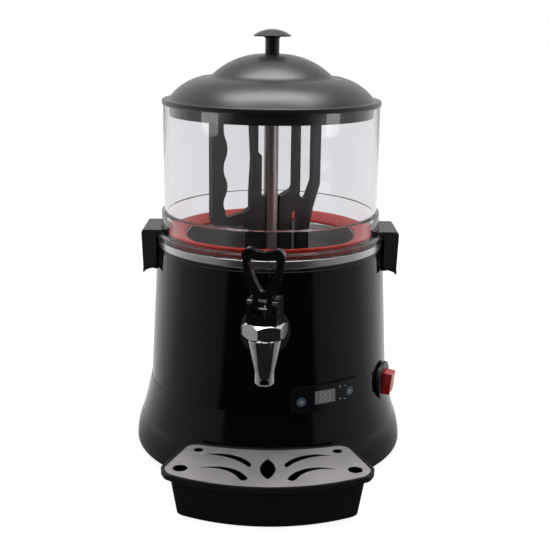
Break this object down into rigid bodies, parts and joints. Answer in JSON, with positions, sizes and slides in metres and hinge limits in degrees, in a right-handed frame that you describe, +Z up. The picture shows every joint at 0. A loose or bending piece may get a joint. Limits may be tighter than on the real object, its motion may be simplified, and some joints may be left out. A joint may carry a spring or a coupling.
{
  "type": "hot drink dispenser",
  "caption": "Round countertop hot drink dispenser with a clear jar, a lidded agitator, a heated steel tank, a spring-closed tap, side clips and a pull-out drip tray.",
  "frame": {"origin": "on the table, on the machine's upright axis through the jar, the tank and the agitator", "axes": "+Z up, -Y to the front where the tap and drip tray are, +X to the right of someone who faces the machine"},
  "size_m": [0.3016, 0.3936, 0.461],
  "materials": {
    "gloss_black": "gloss black moulding",
    "black_steel": "gloss black enamel",
    "satin_black": "satin black moulding",
    "stainless": "brushed stainless steel",
    "chrome": "bright chrome plate",
    "clear": "clear moulded jar",
    "red_silicone": "red silicone",
    "black_rubber": "black rubber",
    "white_silicone": "white silicone",
    "zinc_steel": "zinc plated steel",
    "aluminium": "plain aluminium",
    "brass": "plain brass",
    "white_plastic": "white nylon",
    "board": "green board with black parts",
    "window": "dull mauve display window",
    "pale_blue": "pale blue cap",
    "red_plastic": "red rocker"
  },
  "bodies": {
    "machine": {"base_plate": "zinc_steel", "base_screws": "zinc_steel", "base_skirt": "gloss_black", "body_bolts": "zinc_steel", "body_shell": "black_steel", "cable_gland": "satin_black", "clip_brackets": "satin_black", "clip_pins": "stainless", "clip_screws": "zinc_steel", "column_bushes": "white_plastic", "column_tube": "stainless", "control_board": "board", "display_window": "window", "drive_screws": "zinc_steel", "feet": "black_rubber", "foot_screws": "zinc_steel", "gearbox_cover": "aluminium", "gearbox_housing": "aluminium", "gland_nut": "satin_black", "heater_element": "zinc_steel", "indicator_lights": "pale_blue", "jar": "clear", "jar_gasket": "red_silicone", "motor_bracket": "zinc_steel", "motor_can": "zinc_steel", "outlet_tube": "stainless", "overheat_cutout": "white_plastic", "panel_housing": "gloss_black", "switch_bezel": "satin_black", "switch_case": "satin_black", "tank_pot": "stainless", "tap_bonnet": "gloss_black", "tap_lever_pin": "chrome", "tap_nozzle": "chrome", "tap_nut": "chrome", "tap_spring": "stainless", "tap_washer": "black_rubber", "temperature_probe": "zinc_steel", "tray_guides": "satin_black", "water_jacket": "stainless"},
    "lid": {"lid_cover": "satin_black", "lid_knob": "satin_black", "knob_screw": "zinc_steel"},
    "agitator_drive": {"agitator": "satin_black", "drive_shaft": "stainless", "shaft_coupling": "brass", "output_shaft": "zinc_steel", "drive_gear": "white_plastic"},
    "motor_rotor": {"motor_pinion": "zinc_steel"},
    "tap_handle": {"tap_lever": "gloss_black"},
    "valve_stem": {"tap_stem": "stainless", "tap_seat_cup": "white_silicone"},
    "clip_on_left": {"clip_left": "satin_black"},
    "clip_on_right": {"clip_right": "satin_black"},
    "rocker": {"switch_rocker": "red_plastic"},
    "left_button": {"button_left": "pale_blue"},
    "right_button": {"button_right": "pale_blue"},
    "tray": {"drip_tray": "satin_black"},
    "tray_plate": {"tray_grille": "stainless"}
  },
  "joints": [
    {"name": "lid_lift", "type": "slide", "parent": "machine", "child": "lid", "axis": [0, 0, 1], "range_m": [0, 0.15]},
    {"name": "agitator_spin", "type": "hinge", "parent": "machine", "child": "agitator_drive", "pos_m": [0, 0, 0.38], "axis": [0, 0, 1], "continuous": true},
    {"name": "motor_spin", "type": "hinge", "parent": "machine", "child": "motor_rotor", "pos_m": [0, 0.024, 0.06], "axis": [0, 0, 1], "continuous": true},
    {"name": "lever_tilt", "type": "hinge", "parent": "machine", "child": "tap_handle", "pos_m": [-0.00545, -0.19382, 0.213], "axis": [0.9703, -0.2419, 0], "range_deg": [0, 25], "stiffness_Nm_per_rad": 0.35},
    {"name": "stem_lift", "type": "slide", "parent": "machine", "child": "valve_stem", "axis": [0, 0, 1], "range_m": [0, 0.0057], "deforming": ["tap_spring"]},
    {"name": "clip_left_turn", "type": "hinge", "parent": "machine", "child": "clip_on_left", "pos_m": [-0.13, 0, 0.2142], "axis": [0, -1, 0], "range_deg": [0, 40]},
    {"name": "clip_right_turn", "type": "hinge", "parent": "machine", "child": "clip_on_right", "pos_m": [0.13, 0, 0.2142], "axis": [0, 1, 0], "range_deg": [0, 40]},
    {"name": "rocker_turn", "type": "hinge", "parent": "machine", "child": "rocker", "pos_m": [0.12542, -0.04689, 0.087], "axis": [-0.3502, -0.9367, 0], "range_deg": [0, 12]},
    {"name": "tray_slide", "type": "slide", "parent": "machine", "child": "tray", "axis": [0, -1, 0], "range_m": [0, 0.095]},
    {"name": "plate_lift", "type": "slide", "parent": "tray", "child": "tray_plate", "axis": [0, 0, 1], "range_m": [0, 0.06]},
    {"name": "left_button_press", "type": "slide", "parent": "machine", "child": "left_button", "axis": [-0.247, 0.969, 0], "range_m": [0, 0.0005], "stiffness_N_per_m": 1500},
    {"name": "right_button_press", "type": "slide", "parent": "machine", "child": "right_button", "axis": [-0.6239, 0.7815, 0], "range_m": [0, 0.0005], "stiffness_N_per_m": 1500}
  ],
  "couplings": [
    {"joint": "motor_spin", "follows": "agitator_spin", "ratio": -4},
    {"joint": "stem_lift", "follows": "lever_tilt", "m_per_rad": 0.013}
  ]
}
